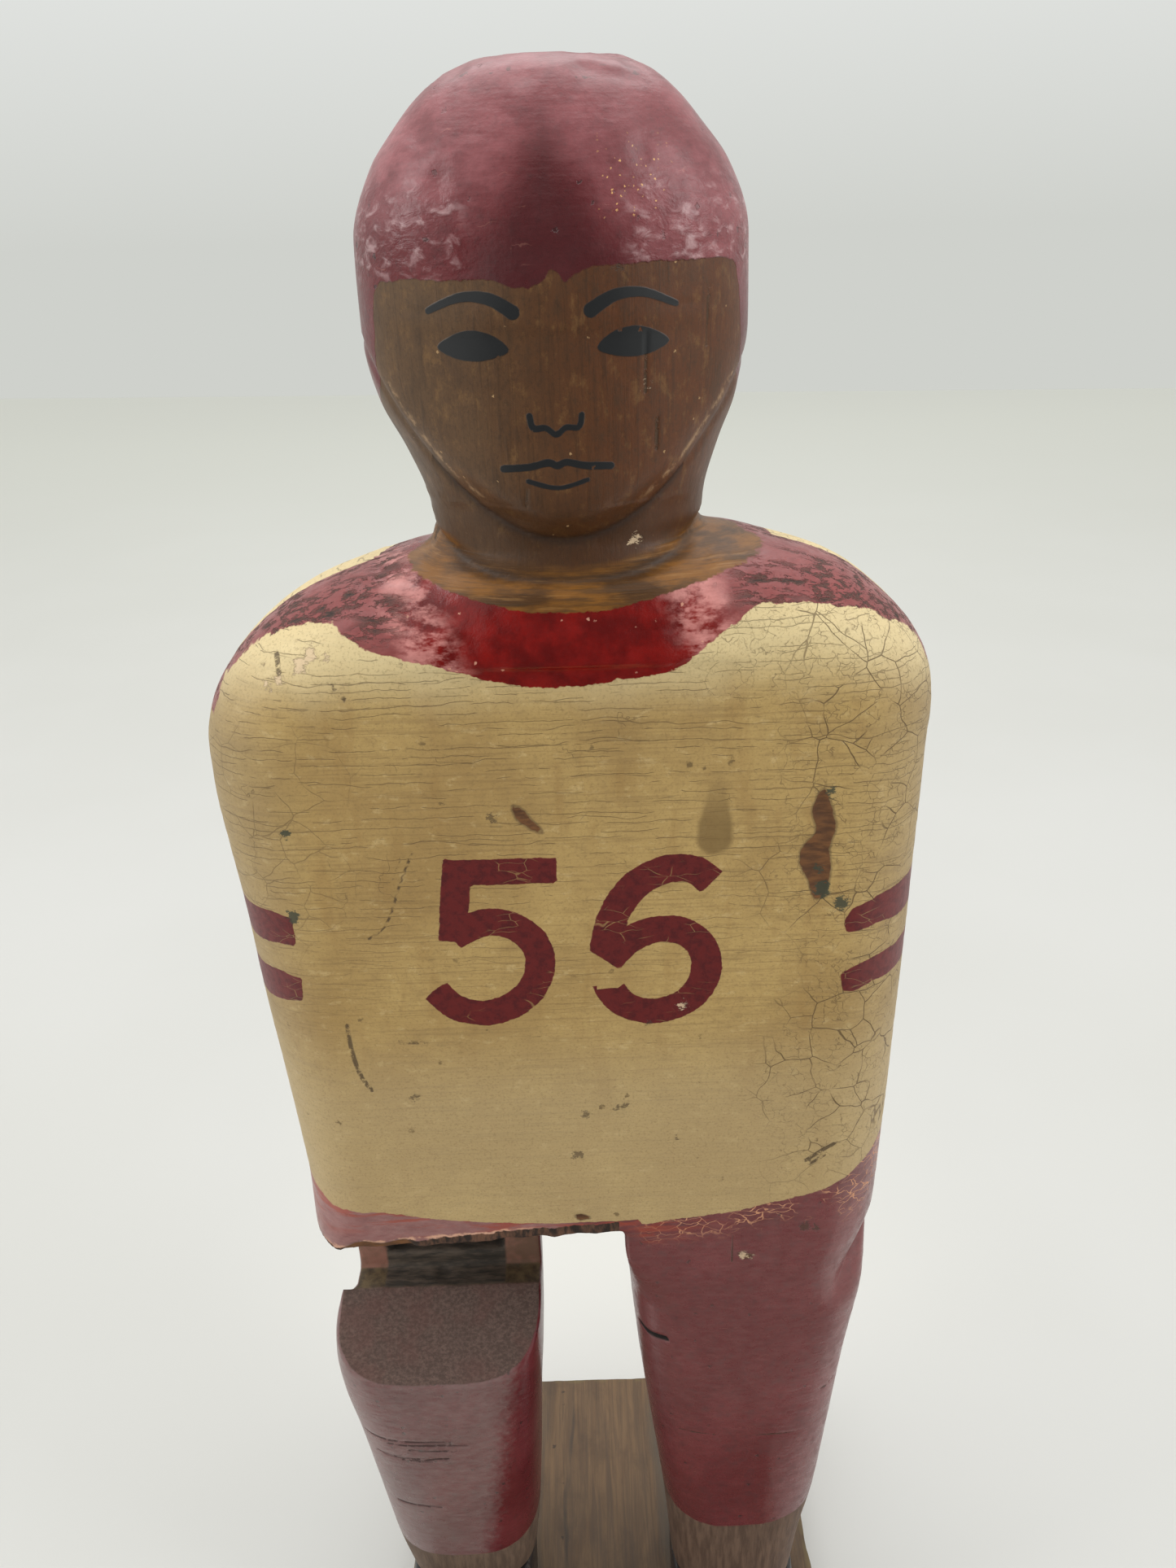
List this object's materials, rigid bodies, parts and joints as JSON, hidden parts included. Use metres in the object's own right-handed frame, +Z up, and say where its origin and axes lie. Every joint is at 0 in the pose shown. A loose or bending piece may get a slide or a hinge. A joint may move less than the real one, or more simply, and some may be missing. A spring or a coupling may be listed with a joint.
{
  "type": "football kicker figure",
  "caption": "Carved and painted wooden football player on a plank base, with a kicking leg hinged at the hip.",
  "frame": {"origin": "middle of the base board's underside, on the surface it stands on", "axes": "+Z up, the figure faces -Y, the kicking leg is at -X (the player's right)"},
  "size_m": [0.133, 0.15, 0.388],
  "materials": {
    "figure_paint": "aged cream, maroon and brown paint on carved softwood, satin with gloss patches",
    "leg_paint": "aged maroon paint on carved softwood, satin, with bare end grain at the hip",
    "hinge_wood": "dark unpainted wood, dull",
    "board_wood": "bare brown plank with grey stains, dull",
    "shoe_paint": "black paint on carved wood, satin and worn",
    "pin_steel": "dull bare steel rod",
    "fastener_steel": "dull bare steel"
  },
  "bodies": {
    "figure": {"figure_body": "figure_paint", "hip_block": "hinge_wood", "hip_block_nail_outer": "fastener_steel", "hip_block_nail_inner": "fastener_steel", "standing_shoe": "shoe_paint", "base_board": "board_wood", "base_screw_front": "fastener_steel", "base_screw_rear": "fastener_steel"},
    "kicking_leg": {"kicking_leg": "leg_paint", "kicking_shoe": "shoe_paint", "kicking_shoe_screw": "fastener_steel", "hip_pin": "pin_steel"}
  },
  "joints": [
    {"name": "hip_hinge", "type": "hinge", "parent": "figure", "child": "kicking_leg", "pos_m": [-0.03405, 0.02075, 0.1585], "axis": [-1, 0, 0], "range_deg": [-75, 60]}
  ]
}
